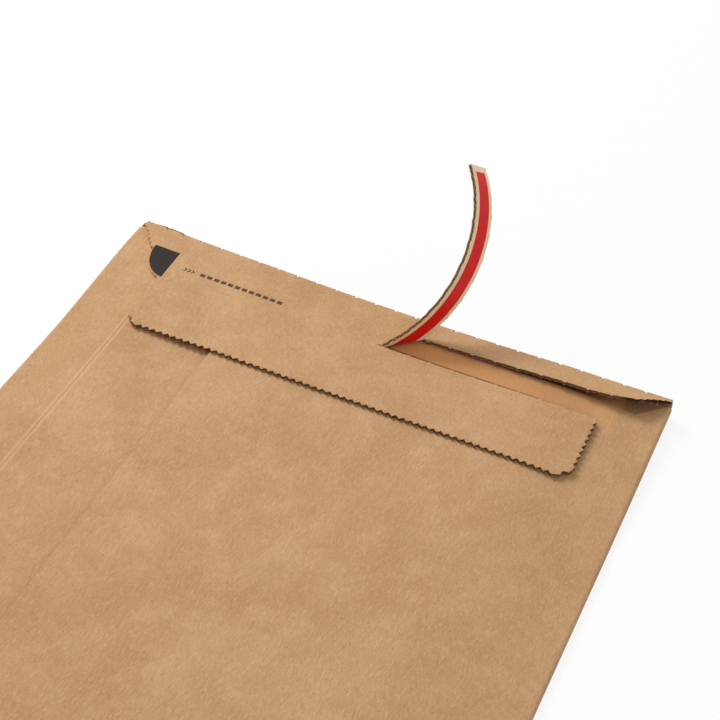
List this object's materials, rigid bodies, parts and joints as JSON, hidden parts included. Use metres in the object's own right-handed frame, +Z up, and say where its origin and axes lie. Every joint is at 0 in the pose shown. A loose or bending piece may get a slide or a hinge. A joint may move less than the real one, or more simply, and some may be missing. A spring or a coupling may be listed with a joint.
{
  "type": "corrugated cardboard envelope",
  "caption": "Flat mailer folded from one corrugated board blank, flap glued down, tear strip pulled half open and curled up.",
  "frame": {"origin": "middle of the front panel's flat outer face, which the envelope lies on", "axes": "+X along the width, +Y along the length towards the closing flap's fold, +Z up, out of the back that carries the flap"},
  "size_m": [0.245, 0.3951, 0.0663],
  "materials": {
    "kraft_board": "matt brown kraft liner on both sides of a fluted medium",
    "tear_tape": "red film tape, slightly glossy",
    "adhesive": "thin dry glue line, hidden between the boards"
  },
  "bodies": {
    "root": {"envelope_board": "kraft_board", "tear_tape": "tear_tape", "closure_adhesive": "adhesive", "seam_glue": "adhesive", "bottom_glue": "adhesive"}
  },
  "joints": []
}
